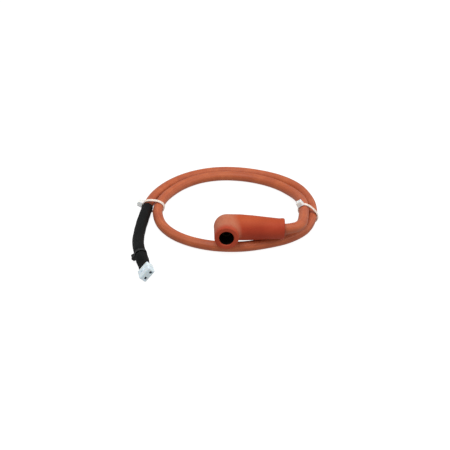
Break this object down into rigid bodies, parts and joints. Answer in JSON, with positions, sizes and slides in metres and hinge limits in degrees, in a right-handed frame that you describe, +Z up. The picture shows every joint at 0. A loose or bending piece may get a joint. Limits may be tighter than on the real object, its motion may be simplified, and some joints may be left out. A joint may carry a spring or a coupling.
{
  "type": "ignition lead",
  "caption": "High-voltage ignition lead: coiled and tied red-brown silicone cable with a right-angle push-on boot at one end and a black-sleeved white connector at the other.",
  "frame": {"origin": "on the surface the lead lies on, under the middle of its outline", "axes": "+Z up, away from the surface; +Y across the coil towards the side opposite the boot; +X along the boot's barrel, from its elbow towards its cable end; the boot's mouth faces -Y"},
  "size_m": [0.129, 0.1578, 0.0242],
  "materials": {
    "cable_silicone": "satin",
    "boot_silicone": "satin",
    "natural_nylon": "translucent satin",
    "housing_nylon": "satin",
    "black_sleeving": "matt",
    "black_nylon": "satin",
    "wire_pvc": "satin",
    "tinned_copper": "tinned",
    "terminal_brass": "machined",
    "zinc_plated_steel": "bright"
  },
  "bodies": {
    "lead": {"cable_jacket": "cable_silicone", "conductor_core": "tinned_copper", "left_cable_tie": "natural_nylon", "right_cable_tie": "natural_nylon", "black_sleeve": "black_sleeving", "sleeve_cable_tie": "black_nylon", "splice_ferrule": "tinned_copper", "wire_a_insulation": "wire_pvc", "wire_b_insulation": "wire_pvc", "wire_a_core": "tinned_copper", "wire_b_core": "tinned_copper", "contact_a": "tinned_copper", "contact_b": "tinned_copper", "connector_housing": "housing_nylon"},
    "boot": {"elbow_boot": "boot_silicone", "terminal_body": "terminal_brass", "socket_spring": "zinc_plated_steel", "cable_screw": "zinc_plated_steel"}
  },
  "joints": [
    {"name": "boot_swivel", "type": "hinge", "parent": "lead", "child": "boot", "pos_m": [0, -0.0331, 0.0157], "axis": [-0.9992, 0, 0.0409], "range_deg": [0, 180]}
  ]
}
